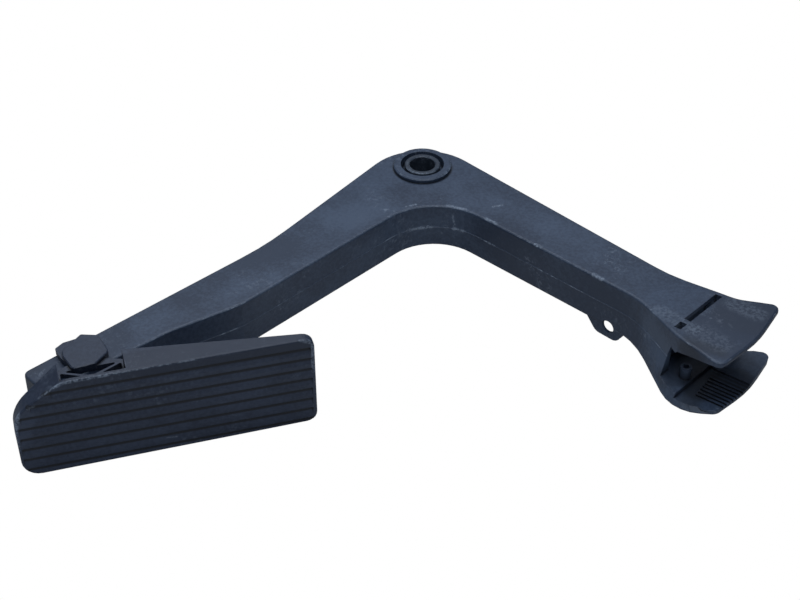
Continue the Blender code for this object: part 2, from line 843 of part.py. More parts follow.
def pin_cutter(collection):
    inner = ARM_HALF + GAP
    top = inner + EAR_THICK - PIN_BLIND_WALL
    low = -inner - EAR_THICK - REACH
    radius = PIN_RADIUS + GAP
    return turned("cut_pin_hole", [(0, top), (radius, top), (radius, low), (0, low)],
                  collection, steps=32)


def tread_cutters(collection):
    """Stepped grooves along the tread: each is deep at its upper side and slopes out below it."""
    outline = pad_outline()
    cutters = []
    front = -TREAD_DISTANCE
    slant = TREAD_GROOVE_DEPTH * REACH / TREAD_SLOPE_HEIGHT
    tilt = math.atan2(PAD_TOP_LEFT - PAD_TOP_RIGHT, PAD_RIGHT)
    for index in range(TREAD_GROOVES):
        z = TREAD_MIDDLE + (index - (TREAD_GROOVES - 1) / 2) * TREAD_PITCH
        left, right = crossings(outline, 1, z)
        groove = prism(f"cut_tread_{index + 1}", [
            Vector((front - slant, z)),
            Vector((front + TREAD_GROOVE_DEPTH, z)),
            Vector((front - slant, z - TREAD_SLOPE_HEIGHT - REACH)),
        ], left + TREAD_MARGIN, right - TREAD_MARGIN, collection)
        groove.rotation_euler = (math.pi / 2 + tilt, 0, math.pi / 2)
        cutters.append(groove)
    return cutters


def make_pad(parts, tools):
    pad = pad_tray(parts)
    join(pad, *pad_ribs(tools))
    cut(pad, rim_trimmer(tools), window_cutter(tools), toe_notch(tools))
    pad_ears(pad, tools)
    cut(pad, pin_cutter(tools))
    cut(pad, *tread_cutters(tools))
    shade(pad)
    return pad


def make_pin(parts):
    inner = ARM_HALF + GAP
    top = inner + EAR_THICK - PIN_BLIND_WALL - GAP
    seat = -inner - EAR_THICK - GAP
    chamfer = 0.0005
    return turned("hinge_pin", [
        (0, top),
        (PIN_RADIUS - chamfer, top),
        (PIN_RADIUS, top - chamfer),
        (PIN_RADIUS, seat),
        (PIN_HEAD_RADIUS, seat),
        (PIN_HEAD_RADIUS, seat - PIN_HEAD_THICK),
        (0, seat - PIN_HEAD_THICK),
    ], parts, steps=32)


def make_spring(parts):
    """Torsion spring: one leg lies on the back wall of the pocket, the other on the pad."""
    top = POCKET_HALF - GAP - WIRE_RADIUS
    lever_leg = TOE_ANGLE - PAD_ANGLE + math.pi
    foot = Vector((SPRING_FOOT_ALONG, -TREAD_DISTANCE + PAD_WALL + GAP + WIRE_RADIUS))
    tangent = math.atan2(foot.y, foot.x) + math.acos(COIL_RADIUS / foot.length)
    start = lever_leg + math.pi / 2
    turn = (tangent - start) % (2 * math.pi) + 2 * math.pi * COIL_TURNS
    steps = 12 * (COIL_TURNS + 1)
    rest = Vector((math.cos(start), math.sin(start))) * COIL_RADIUS
    leg = rest + Vector((math.cos(lever_leg), math.sin(lever_leg))) * (POCKET_SIDE - POCKET_ROUND)
    points = [(leg.x, leg.y, -top)]
    for step in range(steps + 1):
        angle = start + turn * step / steps
        z = -top + 2 * top * step / steps
        points.append((COIL_RADIUS * math.cos(angle), COIL_RADIUS * math.sin(angle), z))
    points.append((foot.x, foot.y, top))
    curve = bpy.data.curves.new("pad_spring", "CURVE")
    curve.dimensions = "3D"
    curve.bevel_depth = WIRE_RADIUS
    curve.bevel_resolution = 2
    curve.use_fill_caps = True
    spline = curve.splines.new("POLY")
    spline.points.add(len(points) - 1)
    for point, place in zip(spline.points, points):
        point.co = (*place, 1)
    spring = bpy.data.objects.new("pad_spring", curve)
    parts.objects.link(spring)
    return spring


# Assembly

def stand_on_origin(frame, pieces):
    """Moves the pedal so that its box stands on z = 0 with its middle at x = y = 0."""
    bpy.context.view_layer.update()
    graph = bpy.context.evaluated_depsgraph_get()
    places = []
    for piece in pieces:
        solid = piece.evaluated_get(graph)
        mesh = solid.to_mesh()
        places += [solid.matrix_world @ vertex.co for vertex in mesh.vertices]
        solid.to_mesh_clear()
    low = [min(place[axis] for place in places) for axis in range(3)]
    high = [max(place[axis] for place in places) for axis in range(3)]
    frame.location = (-(low[0] + high[0]) / 2, -(low[1] + high[1]) / 2, -low[2])


def main():
    clear_scene()
    parts = new_collection("accelerator_pedal")
    lever_tools = new_collection("lever_cutters")
    pad_tools = new_collection("pad_cutters")
    plastic = plain_material("glass_filled_plastic", (0.045, 0.060, 0.085), 0.55)
    bush_plastic = plain_material("bush_plastic", (0.035, 0.038, 0.045), 0.38)
    steel = plain_material("zinc_plated_steel", (0.55, 0.56, 0.58), 0.35, 1.0)
    spring_steel = plain_material("spring_steel", (0.30, 0.30, 0.31), 0.40, 1.0)

    pivot = bpy.data.objects.new("pivot_axis", None)
    parts.objects.link(pivot)
    hinge = bpy.data.objects.new("pad_hinge_axis", None)
    parts.objects.link(hinge)
    hinge.parent = pivot
    hinge.location = toe_arm(HINGE_ALONG, HINGE_ACROSS).to_3d()
    hinge.rotation_euler = (0, 0, PAD_ANGLE)

    lever = make_lever(parts, lever_tools)
    bush = make_bush(parts)
    pad = make_pad(parts, pad_tools)
    pin = make_pin(parts)
    spring = make_spring(parts)
    for piece, material in ((lever, plastic), (bush, bush_plastic), (pad, plastic),
                            (pin, steel), (spring, spring_steel)):
        piece.data.materials.append(material)
    for piece in (lever, bush, *lever_tools.objects):
        piece.parent = pivot
    for piece in (pad, pin, spring, *pad_tools.objects):
        piece.parent = hinge
    stand_on_origin(pivot, (lever, bush, pad, pin, spring))


main()
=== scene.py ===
"""Looks of the accelerator pedal: moulded plastic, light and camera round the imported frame."""
import math
from collections import namedtuple

import bmesh
import bpy
from mathutils import Matrix, Vector


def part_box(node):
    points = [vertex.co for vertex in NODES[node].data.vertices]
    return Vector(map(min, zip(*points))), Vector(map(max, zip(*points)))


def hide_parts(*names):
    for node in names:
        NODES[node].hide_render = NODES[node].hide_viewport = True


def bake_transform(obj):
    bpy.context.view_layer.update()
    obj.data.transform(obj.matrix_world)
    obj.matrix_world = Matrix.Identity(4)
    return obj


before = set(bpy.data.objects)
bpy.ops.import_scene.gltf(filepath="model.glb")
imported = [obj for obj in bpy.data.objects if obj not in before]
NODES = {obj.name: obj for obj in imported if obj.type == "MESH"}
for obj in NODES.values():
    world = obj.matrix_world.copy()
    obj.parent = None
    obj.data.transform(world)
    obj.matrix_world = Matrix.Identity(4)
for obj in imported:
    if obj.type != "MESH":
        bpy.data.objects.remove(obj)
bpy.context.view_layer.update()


def middle(node):
    """Middle of a node's box: for a round piece, a point on its axis."""
    low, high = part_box(node)
    return (Vector(low) + Vector(high)) / 2


# Places and sizes in the frame, in metres

MM_PER_M = 1000.0
PIVOT = middle("pivot_bush")
HINGE = Vector((*middle("hinge_pin").xy, PIVOT.z))
ARM_HALF = 0.0116
TREAD_DISTANCE = 0.0233
PAD_ANGLE = math.radians(16.7)


# Shader helpers

Pattern = namedtuple("Pattern", "scale detail roughness distortion low high",
                     defaults=(3.0, 0.5, 0.0, 0.0, 1.0))


class Tree:
    """Short calls for building a shader."""

    def __init__(self, name):
        self.material = bpy.data.materials.new(name)
        self.material.use_nodes = True
        self.nodes = self.material.node_tree.nodes
        self.links = self.material.node_tree.links
        self.shader = self.nodes["Principled BSDF"]

    def add(self, kind, **settings):
        node = self.nodes.new(kind)
        for key, value in settings.items():
            setattr(node, key, value)
        return node

    def join(self, source, target):
        self.links.new(source, target)

    def feed(self, socket, value):
        if isinstance(value, bpy.types.NodeSocket):
            self.join(value, socket)
        else:
            socket.default_value = value

    def place(self):
        """The surface's place at rest, in the frame's metres."""
        return self.add("ShaderNodeTexCoord").outputs["Object"]

    def noise(self, vector, pattern):
        node = self.add("ShaderNodeTexNoise")
        self.join(vector, node.inputs["Vector"])
        node.inputs["Scale"].default_value = pattern.scale
        node.inputs["Detail"].default_value = pattern.detail
        node.inputs["Roughness"].default_value = pattern.roughness
        node.inputs["Distortion"].default_value = pattern.distortion
        return node.outputs["Fac"]

    def patches(self, vector, pattern):
        """The pattern's noise as a mask: 0 up to its low value and 1 from its high one on."""
        return self.ramp(self.noise(vector, pattern), pattern.low, pattern.high)

    def stretch(self, vector, scale):
        node = self.add("ShaderNodeMapping")
        self.join(vector, node.inputs["Vector"])
        node.inputs["Scale"].default_value = scale
        return node.outputs["Vector"]

    def math(self, operation, first, second=0.0, third=None, clamp=False):
        node = self.add("ShaderNodeMath", operation=operation, use_clamp=clamp)
        self.feed(node.inputs[0], first)
        self.feed(node.inputs[1], second)
        if third is not None:
            self.feed(node.inputs[2], third)
        return node.outputs[0]

    def ramp(self, value, low, high, start=0.0, end=1.0):
        """Smooth step from start at low to end at high."""
        node = self.add("ShaderNodeMapRange", interpolation_type="SMOOTHSTEP")
        self.feed(node.inputs["Value"], value)
        node.inputs["From Min"].default_value = low
        node.inputs["From Max"].default_value = high
        node.inputs["To Min"].default_value = start
        node.inputs["To Max"].default_value = end
        return node.outputs["Result"]

    def blend(self, share, first, second):
        node = self.add("ShaderNodeMix", data_type="RGBA")
        self.feed(node.inputs["Factor"], share)
        self.feed(node.inputs["A"], first)
        self.feed(node.inputs["B"], second)
        return node.outputs["Result"]

    def vector(self, operation, first, second=None, scale=None):
        node = self.add("ShaderNodeVectorMath", operation=operation)
        self.feed(node.inputs[0], first)
        if second is not None:
            self.feed(node.inputs[1], second)
        if scale is not None:
            self.feed(node.inputs["Scale"], scale)
        return node.outputs["Vector"]

    def dot(self, first, second):
        node = self.add("ShaderNodeVectorMath", operation="DOT_PRODUCT")
        self.feed(node.inputs[0], first)
        self.feed(node.inputs[1], second)
        return node.outputs["Value"]

    def length(self, vector):
        node = self.add("ShaderNodeVectorMath", operation="LENGTH")
        self.feed(node.inputs[0], vector)
        return node.outputs["Value"]

    def height(self, vector):
        node = self.add("ShaderNodeSeparateXYZ")
        self.join(vector, node.inputs[0])
        return node.outputs["Z"]

    def hollow(self, reach, low, high, darkest):
        """1 on open faces, down to darkest where walls within reach close the place in: the measure of
        painted shade.
        """
        node = self.add("ShaderNodeAmbientOcclusion", samples=8, only_local=True)
        node.inputs["Distance"].default_value = reach
        return self.ramp(node.outputs["AO"], low, high, darkest, 1.0)

    def bump(self, height, strength, distance, normal):
        node = self.add("ShaderNodeBump")
        node.inputs["Strength"].default_value = strength
        node.inputs["Distance"].default_value = distance
        self.join(height, node.inputs["Height"])
        self.join(normal, node.inputs["Normal"])
        return node.outputs["Normal"]


def band(tree, value, centre, half, fade):
    """1 inside centre plus or minus half, falling to 0 over fade."""
    away = tree.math("ABSOLUTE", tree.math("SUBTRACT", value, centre))
    return tree.ramp(away, half, half + fade, 1.0, 0.0)


def near_line(tree, place, start, end, half, fade):
    """1 within half of a line from start to end, falling to 0 over fade."""
    line = Vector(end) - Vector(start)
    offset = tree.vector("SUBTRACT", place, tuple(start))
    along = tree.dot(offset, tuple(line / line.length_squared))
    held = tree.math("MINIMUM", tree.math("MAXIMUM", along, 0.0), 1.0)
    nearest = tree.vector("SCALE", tuple(line), scale=held)
    away = tree.length(tree.vector("SUBTRACT", offset, nearest))
    return tree.ramp(away, half, half + fade, 1.0, 0.0)


# Moulded plastic: noises per metre, lengths in metres, shares from 0 to 1

# Flow marks, dust, wear and grain
CLOUD = Pattern(26.0, detail=5.0, roughness=0.62, distortion=0.8, low=0.38, high=0.66)
STREAK = Pattern(90.0, detail=4.0, roughness=0.7, distortion=0.4, low=0.34, high=0.70)
SPECKLE = Pattern(650.0, roughness=0.7, low=0.38, high=0.62)
DUST = Pattern(38.0, detail=4.0, roughness=0.7, distortion=0.6, low=0.50, high=0.72)
DUST_SPECK = Pattern(480.0, roughness=0.75, low=0.50, high=0.66)
WORN_PATCH = Pattern(60.0, detail=4.0, roughness=0.75, distortion=0.5, low=0.52, high=0.64)
WORN_SPECK = Pattern(700.0, roughness=0.7, low=0.38, high=0.62)
GRAIN = Pattern(2100.0, detail=2.0)

# What each flow mark adds to the share of the paler colour
CLOUD_SHARE = 0.38
STREAK_SHARE = 0.22
SPECKLE_SHARE = 0.40

# Painted shade where near walls would shade the plastic: the openness from darkest to fully lit, and
# the darkest
SLOT_REACH = 0.0016
SLOT_OPENNESS = (0.50, 0.92)
SLOT_SHADE = 0.10
CAVITY_REACH = 0.030
CAVITY_OPENNESS = (0.28, 0.75)
SHADED_SHARE = 0.12

# Wear, by how far a face looks up or down: 0 on an upright face and 1 on a level one
# The pale colour of dust, of wear, and of the bush's painted highlight
WORN = (0.20, 0.24, 0.30)
MOST_WORN = 0.9
LEANING = (0.25, 0.55)
LEVEL = (0.80, 0.97)
SIDE = (0.80, 0.95)
CREASE_WEAR = 0.10
CREASE_PATCHES = 0.55
PARTING_HALF = 0.00022
PARTING_FADE = 0.00025
PARTING_WEAR = 0.06
PARTING_PATCHES = 0.32
RUB_FADE = 1.5

# Rounded edges, roughness and relief
ROUND_EDGE = 0.0002
SMOOTHEST = 0.42
STREAK_ROUGHNESS = 0.16
WORN_ROUGHNESS = 0.25
GRAIN_STRENGTH = 0.22
GRAIN_HEIGHT = 0.00012
STREAK_STRENGTH = 0.10
STREAK_HEIGHT = 0.0004


def flow_marks_and_painted_light(tree, place, streak, base, clouded_and_painted_light, painted_light):
    """Cloudy mix of the plastic's two colours, with painted light and painted shade along the given
    lines.
    """
    share = tree.math("MULTIPLY", tree.patches(place, CLOUD), CLOUD_SHARE)
    streaks = tree.ramp(streak, STREAK.low, STREAK.high)
    share = tree.math("MULTIPLY_ADD", streaks, STREAK_SHARE, share)
    share = tree.math("MULTIPLY_ADD", tree.patches(place, SPECKLE), SPECKLE_SHARE, share)
    for *line, amount in painted_light:
        share = tree.math("MULTIPLY_ADD", near_line(tree, place, *line), amount, share, clamp=True)
    return tree.blend(share, (*base, 1.0), (*clouded_and_painted_light, 1.0))


def painted_shading(tree, place, deepest, shadows):
    """Painted shade: 1 where light gets in, less in slots, in cavities and along the lines of painted
    shadow.
    """
    slots = tree.hollow(SLOT_REACH, *SLOT_OPENNESS, SLOT_SHADE)
    cavities = tree.hollow(CAVITY_REACH, *CAVITY_OPENNESS, deepest)
    share = tree.math("MULTIPLY", slots, cavities)
    for *line, depth in shadows:
        lit = tree.math("MULTIPLY_ADD", near_line(tree, place, *line), -depth, 1.0)
        share = tree.math("MULTIPLY", share, lit)
    return share


def wear_and_highlights(tree, place, edge_wear, parting_height, rubs_and_highlights):
    """Share of the worn colour: on creases, on the parting line and along the lines of rubs, which on
    the bush are a painted highlight.
    """
    patchy = tree.patches(place, WORN_PATCH)
    fine = tree.patches(place, WORN_SPECK)
    speckled = tree.math("MULTIPLY", patchy, fine)
    normal = tree.add("ShaderNodeNewGeometry").outputs["Normal"]
    upward = tree.math("ABSOLUTE", tree.height(normal))

    off_level = tree.ramp(upward, *LEVEL, edge_wear, 0.0)
    crease = tree.math("MULTIPLY", tree.ramp(upward, *LEANING), off_level)
    worn = tree.math("MULTIPLY_ADD", speckled, CREASE_PATCHES, CREASE_WEAR)
    share = tree.math("MULTIPLY", crease, worn)
    if parting_height is not None:
        line = band(tree, tree.height(place), parting_height, PARTING_HALF, PARTING_FADE)
        line = tree.math("MULTIPLY", line, tree.ramp(upward, *SIDE, 1.0, 0.0))
        worn = tree.math("MULTIPLY_ADD", speckled, PARTING_PATCHES, PARTING_WEAR)
        share = tree.math("MULTIPLY_ADD", line, worn, share)
    for *line, amount in rubs_and_highlights:
        rubbed = tree.math("MULTIPLY", fine, amount)
        share = tree.math("MULTIPLY_ADD", near_line(tree, place, *line), rubbed, share)
    return tree.math("MINIMUM", share, MOST_WORN)


def moulded_plastic(name, base, clouded_and_painted_light, dust=0.35, deepest=0.45, edge_wear=1.0, parting_height=None,
                    painted_light=(), shadows=(), rubs_and_highlights=()):
    """Glass-filled plastic: cloudy flow marks, dust, painted shade in hollows, painted light and shade
    along lines, and pale rubs on its edges.

    Its two colours are base and a paler one, which painted light also uses, and deepest is the share of
    colour that painted shade keeps in its deepest cavity.
    edge_wear is the wear of leaning faces and creases, and parting_height the parting line's height.
    Lines of painted light and shade, of painted shadow, and of rubs and painted highlights lie on the
    surface, as lines_in_frame returns them.
    """
    tree = Tree(name)
    place = tree.place()
    streak = tree.noise(place, STREAK)
    # Flow marks, with painted light and shade along the given lines
    colour = flow_marks_and_painted_light(tree, place, streak, base, clouded_and_painted_light, painted_light)
    dusty = tree.math("MULTIPLY", tree.patches(place, DUST), tree.patches(place, DUST_SPECK))
    colour = tree.blend(tree.math("MULTIPLY", dusty, dust), colour, (*WORN, 1.0))
    # Painted shade: the colour goes towards a darker copy of the base where walls close in and along
    # the lines of painted shadow
    shaded = [value * SHADED_SHARE for value in base]
    colour = tree.blend(painted_shading(tree, place, deepest, shadows), (*shaded, 1.0), colour)
    # Wear in the pale colour, and on the bush a painted highlight
    worn = wear_and_highlights(tree, place, edge_wear, parting_height, rubs_and_highlights)
    colour = tree.blend(worn, colour, (*WORN, 1.0))
    tree.join(colour, tree.shader.inputs["Base Color"])

    roughness = tree.math("MULTIPLY_ADD", streak, STREAK_ROUGHNESS, SMOOTHEST)
    roughness = tree.math("MULTIPLY_ADD", worn, WORN_ROUGHNESS, roughness)
    tree.join(roughness, tree.shader.inputs["Roughness"])

    edge = tree.add("ShaderNodeBevel", samples=6)
    edge.inputs["Radius"].default_value = ROUND_EDGE
    grain = tree.noise(place, GRAIN)
    normal = tree.bump(grain, GRAIN_STRENGTH, GRAIN_HEIGHT, edge.outputs["Normal"])
    normal = tree.bump(streak, STREAK_STRENGTH, STREAK_HEIGHT, normal)
    tree.join(normal, tree.shader.inputs["Normal"])
    return tree


def lines_in_frame(place, rows):
    """Lines given in millimetres, by one of the place functions below, as lines in the frame.

    A row is start, end, half width, fade beyond it, and amount.
    """
    return [(place(*start), place(*end), half / MM_PER_M, fade / MM_PER_M, amount)
            for start, end, half, fade, amount in rows]


def rubs_in_frame(place, rows):
    """Rubs given in the same way but without the fade, which goes with their width."""
    faded = [(start, end, half, RUB_FADE * half, amount) for start, end, half, amount in rows]
    return lines_in_frame(place, faded)


def dress(node, tree):
    """Gives a carried-over node one material all over."""
    item = NODES[node]
    item.data.materials.clear()
    item.data.materials.append(tree.material)
    for polygon in item.data.polygons:
        polygon.material_index = 0


# Lever, in millimetres from the middle of the pivot: right, away from the camera and up

TOP = ARM_HALF * MM_PER_M

# Rubs on the crease round the top face, and on that face
ARM_RUBS = [
    ((31.8, -31.7, TOP), (35.9, -30.3, TOP), 0.35, 0.75),
    ((-7.5, -31.7, TOP), (-3.4, -29.9, TOP), 0.35, 0.75),
    ((11.2, -30.6, TOP), (19.2, -33.7, TOP), 0.45, 0.75),
    ((27.9, -40.5, TOP), (32.7, -44.6, TOP), 0.45, 0.75),
    ((49.0, -60.1, TOP), (51.3, -61.8, TOP), 0.50, 0.75),
    ((72.5, -81.5, TOP), (75.6, -84.7, TOP), 0.60, 0.75),
]
# Rubs on the parting line round the elbow, and a scratch down to it
ARM_RUBS += [
    ((-7.4, -34.0, 0.0), (4.2, -30.8, 0.0), 0.50, 0.75),
    ((-0.5, -31.6, 0.2), (3.5, -31.1, 0.2), 0.60, 0.60),
    ((14.2, -32.9, 0.0), (19.5, -34.3, 0.0), 0.60, 0.75),
    ((27.1, -42.1, 0.0), (32.6, -45.6, 0.0), 0.35, 0.75),
    ((13.6, -32.4, 7.5), (14.4, -33.0, 1.5), 0.30, 0.60),
]
# Rubs on the upper jaw
ARM_RUBS += [
    ((128.0, -105.0, 15.0), (136.0, -112.0, 15.0), 2.5, 0.24),
    ((97.0, -107.0, 13.0), (108.0, -121.0, 14.5), 2.0, 0.25),
    ((112.0, -124.0, 15.0), (118.0, -131.0, 15.0), 3.0, 0.17),
]

# Painted light on stretches of the toe arm, and painted shade where the amount is below 0
ARM_PAINTED_LIGHT = [
    ((-35.0, -42.0, TOP), (-22.0, -30.0, TOP), 3.0, 12.0, 0.50),
    ((-120.0, -125.0, TOP), (-108.0, -110.0, TOP), 2.0, 10.0, 0.15),
    ((-165.0, -155.0, TOP), (-130.0, -124.0, TOP), 6.0, 10.0, -0.50),
    ((-76.0, -72.0, TOP), (-62.0, -62.0, TOP), 3.0, 12.0, -0.45),
    ((-12.0, -22.0, TOP), (4.0, -26.0, TOP), 3.0, 10.0, -0.40),
    ((-99.0, -97.0, TOP), (-91.0, -87.0, TOP), 4.0, 8.0, -0.35),
    ((-78.0, -72.0, 0.0), (-22.0, -38.0, 0.0), 8.0, 8.0, 0.15),
]
# Painted light and shade on stretches of the right arm and its jaw
ARM_PAINTED_LIGHT += [
    ((35.0, -30.0, TOP), (52.0, -45.0, TOP), 2.0, 10.0, 0.25),
    ((132.0, -107.0, TOP), (138.0, -120.0, TOP), 4.0, 12.0, -0.40),
    ((120.0, -125.0, TOP), (130.0, -112.0, TOP), 10.0, 10.0, -0.55),
    ((34.0, -48.0, 0.0), (88.0, -92.0, -4.0), 8.0, 10.0, -0.45),
    ((88.0, -110.0, 4.0), (94.0, -123.0, 1.0), 5.0, 6.0, 0.60),
    ((112.0, -134.0, TOP), (122.0, -138.0, TOP), 3.0, 6.0, -0.40),
]

# Painted shade on the floor before the jaw's ribs, on the ribs, and in the chamber behind the sill
ARM_SHADOWS = [
    ((108.5, -135.0, -12.0), (117.8, -117.7, -12.0), 2.5, 4.0, 0.45),
    ((113.8, -127.7, -12.0), (128.9, -124.0, -12.0), 6.0, 4.0, 0.62),
    ((102.5, -123.7, -10.0), (114.0, -112.0, -10.0), 4.5, 3.0, 0.45),
]
# Painted shade on the upper jaw's rim, the toe's side, the lower jaw's outer side and the upper jaw's
# right part
ARM_SHADOWS += [
    ((106.0, -129.0, 11.0), (117.0, -136.0, 11.0), 3.0, 3.0, 0.50),
    ((-158.0, -140.0, 6.0), (-150.0, -146.0, -2.0), 6.0, 4.0, 0.25),
    ((97.0, -131.0, -9.0), (108.0, -141.0, -12.0), 3.0, 4.0, 0.25),
    ((128.0, -112.0, 13.0), (137.0, -116.0, 13.0), 8.0, 6.0, 0.18),
]

# Grooves of the lower jaw next to its land, which the solid lacks, drawn as lines of painted shade
RIB_CORNER = Vector((122.0, -117.0, -12.0))
RIB_ANGLE = math.radians(-36.0)
RIB_LENGTH = 30.0
RIB_GROOVES = (1.6, 3.7)
RIB_SHADOW = (0.5, 0.1, 0.9)


def arm_place(x, y, z):
    """A place on the lever, given in its millimetres."""
    return PIVOT + Vector((x, y, z)) / MM_PER_M


def rib_groove(across):
    """The row of a groove that lies across from the corner of the ribs."""
    along = Vector((math.cos(RIB_ANGLE), math.sin(RIB_ANGLE), 0.0))
    start = RIB_CORNER + Vector((along.y, -along.x, 0.0)) * across
    return start, start + along * RIB_LENGTH, *RIB_SHADOW


ARM_SHADOWS += [rib_groove(across) for across in RIB_GROOVES]
arm_plastic = moulded_plastic("arm_plastic",
                              base=(0.014, 0.025, 0.050), clouded_and_painted_light=(0.043, 0.065, 0.107),
                              dust=0.45, deepest=0.70, parting_height=PIVOT.z,
                              painted_light=lines_in_frame(arm_place, ARM_PAINTED_LIGHT),
                              shadows=lines_in_frame(arm_place, ARM_SHADOWS),
                              rubs_and_highlights=rubs_in_frame(arm_place, ARM_RUBS))
dress("lever_arm", arm_plastic)


# Pivot bush, in the lever's millimetres

# A painted highlight on the rim of the bush's bore, laid on the way rubs are
BUSH_HIGHLIGHT = [((-3.0, 4.2, 13.2), (-2.2, 4.7, 13.4), 0.4, 0.9)]
bush_plastic = moulded_plastic("bush_plastic",
                               base=(0.013, 0.020, 0.034), clouded_and_painted_light=(0.030, 0.042, 0.062),
                               deepest=0.60, rubs_and_highlights=rubs_in_frame(arm_place, BUSH_HIGHLIGHT))
dress("pivot_bush", bush_plastic)


# Foot pad, in millimetres from the hinge: along the tread, up, and into the tread

TREAD_LINES = 8
TREAD_PITCH = 5.4
TREAD_TILT = math.radians(1.5)
TREAD_MIDDLE = -0.8
TREAD_LEFT = -30.0
TREAD_RIGHT = 86.0
SWEPT_FROM = 6.0
SWEPT_SLOPE = 0.7
GROOVE_FOOT = -0.6
GROOVE_DEPTH = 0.6
GROOVE_SHADOW = (0.7, 0.6, 0.88)

# Painted shade on the top wall and the swept wall, and painted light on the swept corner
PAD_PAINTED_LIGHT = [
    ((-8.0, 20.5, 5.5), (84.0, 18.5, 3.5), 4.0, 3.0, -0.80),
    ((-28.0, 11.0, 6.0), (-14.0, 20.0, 6.0), 5.0, 3.0, -0.25),
    ((-31.0, -2.0), (-27.0, 8.0), 2.0, 4.0, 0.70),
]
# Rubs round the rim
PAD_RUBS = [
    ((-21.4, 17.1), (-16.8, 19.8), 0.6, 0.8),
    ((-16.8, 19.8), (-11.9, 21.8), 0.5, 0.8),
    ((-11.9, 21.9), (8.0, 21.8), 0.4, 0.6),
    ((8.0, 21.8), (40.0, 21.0), 0.2, 0.5),
    ((-25.4, 12.4), (-23.0, 12.7), 0.4, 0.6),
    ((-32.0, -8.0, 0.6), (-31.9, 2.0, 0.6), 0.5, 0.6),
    ((-31.9, 2.0, 0.6), (-29.6, 10.5, 0.6), 0.6, 0.9),
    ((87.4, 3.0), (87.6, 17.0), 0.5, 0.6),
    ((82.5, 20.6), (86.8, 18.6), 0.5, 0.6),
]
# Scratches on the tread
PAD_RUBS += [
    ((36.2, 9.9), (46.6, 10.6), 0.2, 0.3),
    ((39.2, -1.1), (47.3, -0.8), 0.2, 0.3),
    ((25.6, -17.3), (29.6, -17.6), 0.2, 0.4),
]


def pad_place(along, z, depth=0.0):
    """A place on the tread, or a depth behind it, given in the pad's millimetres."""
    outward = Vector((math.sin(PAD_ANGLE), -math.cos(PAD_ANGLE), 0.0))
    rightward = Vector((math.cos(PAD_ANGLE), math.sin(PAD_ANGLE), 0.0))
    tread = HINGE + outward * (TREAD_DISTANCE - depth / MM_PER_M)
    return tread + (rightward * along + Vector((0.0, 0.0, z))) / MM_PER_M


def tread_shadow(index):
    """The row of the painted shadow at the foot of one of the tread's grooves, counted from the lowest.
    """
    middle_z = TREAD_MIDDLE + (index - (TREAD_LINES - 1) / 2) * TREAD_PITCH
    left = TREAD_LEFT + max(0.0, middle_z - SWEPT_FROM) * SWEPT_SLOPE
    foot = middle_z + GROOVE_FOOT
    slope = math.tan(TREAD_TILT)
    ends = [(along, foot - slope * along, GROOVE_DEPTH) for along in (left, TREAD_RIGHT)]
    return *ends, *GROOVE_SHADOW


PAD_SHADOWS = [tread_shadow(index) for index in range(TREAD_LINES)]
pad_plastic = moulded_plastic("pad_plastic",
                              base=(0.010, 0.017, 0.036), clouded_and_painted_light=(0.028, 0.040, 0.070),
                              dust=0.20, edge_wear=0.35,
                              painted_light=lines_in_frame(pad_place, PAD_PAINTED_LIGHT),
                              shadows=lines_in_frame(pad_place, PAD_SHADOWS),
                              rubs_and_highlights=rubs_in_frame(pad_place, PAD_RUBS))
dress("pedal_pad", pad_plastic)


# Hinge pin and spring wire

BRUSHED = Pattern(700.0)
BRUSH_STRETCH = (1.0, 1.0, 12.0)
BRUSH_DARKER = 0.75
BRUSH_ROUGHNESS = 0.15


def metal(name, colour, roughness):
    """Metal with fine brush marks that lie level, as turning and drawing leave them."""
    tree = Tree(name)
    brushed = tree.noise(tree.stretch(tree.place(), BRUSH_STRETCH), BRUSHED)
    darker = [value * BRUSH_DARKER for value in colour]
    tint = tree.blend(brushed, (*colour, 1.0), (*darker, 1.0))
    tree.join(tint, tree.shader.inputs["Base Color"])
    rough = tree.math("MULTIPLY_ADD", brushed, BRUSH_ROUGHNESS, roughness)
    tree.join(rough, tree.shader.inputs["Roughness"])
    tree.shader.inputs["Metallic"].default_value = 1.0
    return tree


pin_steel = metal("pin_steel", colour=(0.55, 0.56, 0.58), roughness=0.28)
wire_steel = metal("wire_steel", colour=(0.30, 0.30, 0.31), roughness=0.32)
dress("hinge_pin", pin_steel)
dress("pad_spring", wire_steel)


# The pad's spring: its leg stays in the lever's pocket and its foot on the pad, so that the coil twists

GAP = 0.0003
WIRE_RADIUS = 0.0007
POCKET_HALF = 0.0062
POCKET_ANGLE = math.radians(44.1)
COIL_RADIUS = 0.0050
COIL_TURNS = 5
COIL_HALF = POCKET_HALF - GAP - WIRE_RADIUS
STEPS_PER_TURN = 36
LEG_LENGTH = 0.0065
LEG_ANGLE = POCKET_ANGLE - PAD_ANGLE
PAD_WALL = 0.0020
FOOT_REACH = 0.0115
FOOT = Vector((FOOT_REACH, PAD_WALL + GAP + WIRE_RADIUS - TREAD_DISTANCE))


